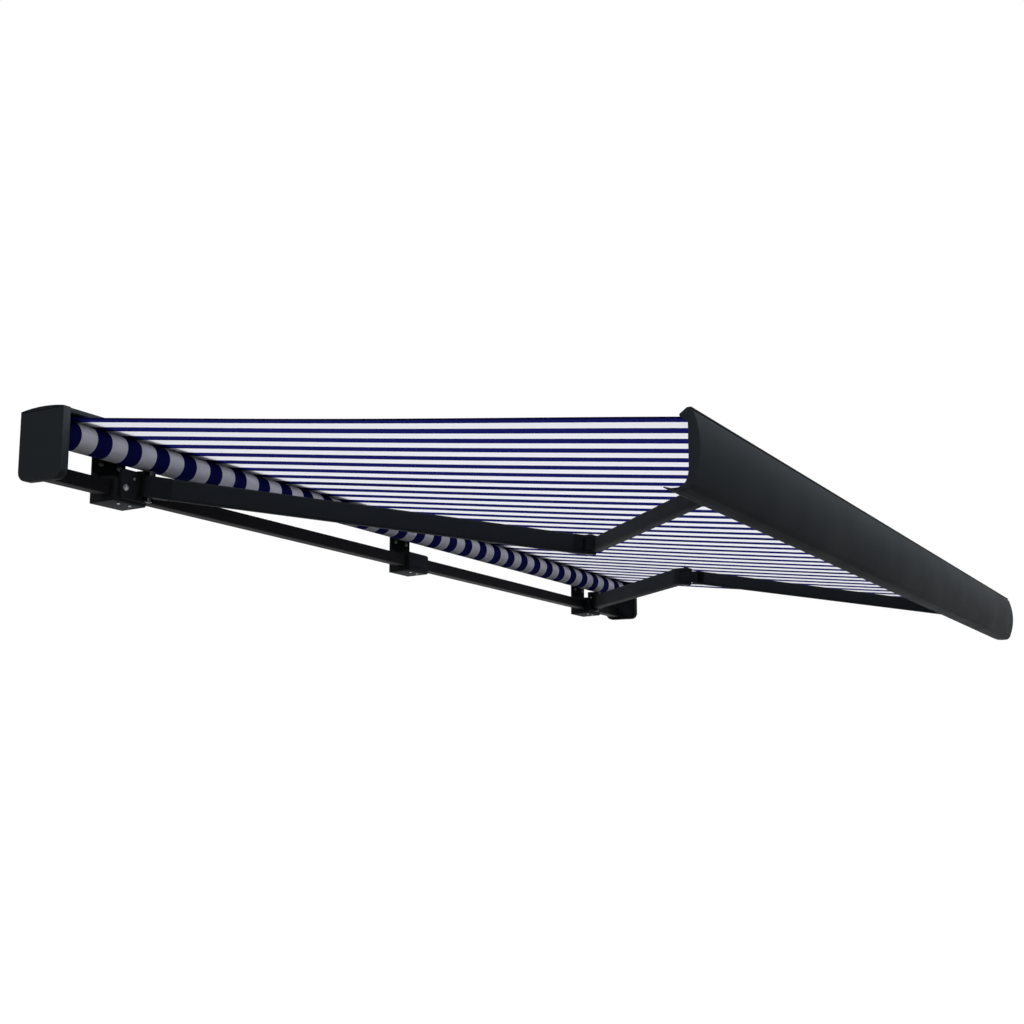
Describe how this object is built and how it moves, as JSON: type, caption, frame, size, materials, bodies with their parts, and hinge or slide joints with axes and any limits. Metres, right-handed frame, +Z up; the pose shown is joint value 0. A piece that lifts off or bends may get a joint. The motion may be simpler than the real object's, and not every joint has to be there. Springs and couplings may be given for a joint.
{
  "type": "retractable canvas awning",
  "caption": "Cassette awning with folding arms: striped cloth on a roller under a slim hood, pulled out by a deep front bar, held to the wall by brackets on a square torsion bar.",
  "frame": {"origin": "centre of the back face of the centre wall bracket, on the wall", "axes": "+X along the wall, the picture's near end being -X; +Y into the wall, -Y outward; +Z up"},
  "size_m": [5, 2.427, 0.477],
  "materials": {
    "striped_cloth": "woven acrylic, navy and white block stripes",
    "black_cord": "smooth cord",
    "brush_seal": "brush pile",
    "black_plastic": "moulded plug",
    "black_coat": "satin black powder coat",
    "steel": "zinc-plated steel",
    "bare_aluminium": "mill finish",
    "grey_plastic": "moulded",
    "coated_casting": "powder-coated aluminium casting",
    "graphite_coat": "fine-textured powder coat"
  },
  "bodies": {
    "cassette": {"bar_clamp_centre": "coated_casting", "bar_clamp_left": "coated_casting", "bar_clamp_right": "coated_casting", "cassette_cap_left": "graphite_coat", "cassette_cap_right": "graphite_coat", "cloth_sheet": "striped_cloth", "hood_profile": "graphite_coat", "hood_seal": "brush_seal", "motor_head": "grey_plastic", "pitch_bolt_left": "steel", "pitch_bolt_right": "steel", "shoulder_bracket_left": "coated_casting", "shoulder_bracket_right": "coated_casting", "shoulder_pin_left": "steel", "shoulder_pin_right": "steel", "torsion_bar": "black_coat", "torsion_plug_left": "black_plastic", "torsion_plug_right": "black_plastic", "tube_motor": "bare_aluminium", "wall_bolt_centre_1": "steel", "wall_bolt_centre_2": "steel", "wall_bolt_left_1": "steel", "wall_bolt_left_2": "steel", "wall_bolt_right_1": "steel", "wall_bolt_right_2": "steel", "wall_bracket_centre": "coated_casting", "wall_bracket_left": "coated_casting", "wall_bracket_right": "coated_casting"},
    "left_upper_arm": {"shoulder_knuckle_left": "coated_casting", "upper_arm_left": "graphite_coat", "arm_spring_left": "steel", "elbow_fork_left": "coated_casting", "elbow_pin_left": "steel"},
    "left_forearm": {"elbow_knuckle_left": "coated_casting", "forearm_left": "graphite_coat", "wrist_knuckle_left": "coated_casting"},
    "right_upper_arm": {"shoulder_knuckle_right": "coated_casting", "upper_arm_right": "graphite_coat", "arm_spring_right": "steel", "elbow_fork_right": "coated_casting", "elbow_pin_right": "steel"},
    "right_forearm": {"elbow_knuckle_right": "coated_casting", "forearm_right": "graphite_coat", "wrist_knuckle_right": "coated_casting"},
    "front_bar": {"front_profile": "graphite_coat", "front_cap_left": "graphite_coat", "front_cap_right": "graphite_coat", "cloth_keder": "black_cord", "wrist_bracket_left": "coated_casting", "wrist_bracket_right": "coated_casting", "wrist_pin_left": "steel", "wrist_pin_right": "steel"},
    "roller": {"roller_tube": "bare_aluminium", "cloth_roll": "striped_cloth", "roller_plug_left": "coated_casting", "roller_crown_right": "grey_plastic"}
  },
  "joints": [
    {"name": "left_shoulder", "type": "hinge", "parent": "cassette", "child": "left_upper_arm", "pos_m": [-2, -0.155, -0.052], "axis": [0, -0.0811, 0.9967], "range_deg": [0, 35.9], "deforming": ["cloth_sheet"]},
    {"name": "left_elbow", "type": "hinge", "parent": "left_upper_arm", "child": "left_forearm", "pos_m": [-0.55324, -1.249, -0.141], "axis": [0, -0.0811, 0.9967], "range_deg": [-71.8, 0]},
    {"name": "left_wrist", "type": "hinge", "parent": "left_forearm", "child": "front_bar", "pos_m": [-2, -2.343, -0.23], "axis": [0, -0.0811, 0.9967], "range_deg": [0, 35.9]},
    {"name": "right_shoulder", "type": "hinge", "parent": "cassette", "child": "right_upper_arm", "pos_m": [2, -0.155, -0.052], "axis": [0, -0.0811, 0.9967], "range_deg": [-35.9, 0]},
    {"name": "right_elbow", "type": "hinge", "parent": "right_upper_arm", "child": "right_forearm", "pos_m": [0.55324, -1.249, -0.141], "axis": [0, -0.0811, 0.9967], "range_deg": [0, 71.8]},
    {"name": "roller_spin", "type": "hinge", "parent": "cassette", "child": "roller", "pos_m": [0, -0.12, 0.0634], "axis": [1, 0, 0], "range_deg": [-2435, 0]}
  ],
  "couplings": [
    {"joint": "left_elbow", "follows": "left_shoulder", "ratio": -2},
    {"joint": "left_wrist", "follows": "left_shoulder", "ratio": 1},
    {"joint": "right_shoulder", "follows": "left_shoulder", "ratio": -1},
    {"joint": "right_elbow", "follows": "left_shoulder", "ratio": 2},
    {"joint": "roller_spin", "follows": "left_shoulder", "ratio": -67.67}
  ]
}
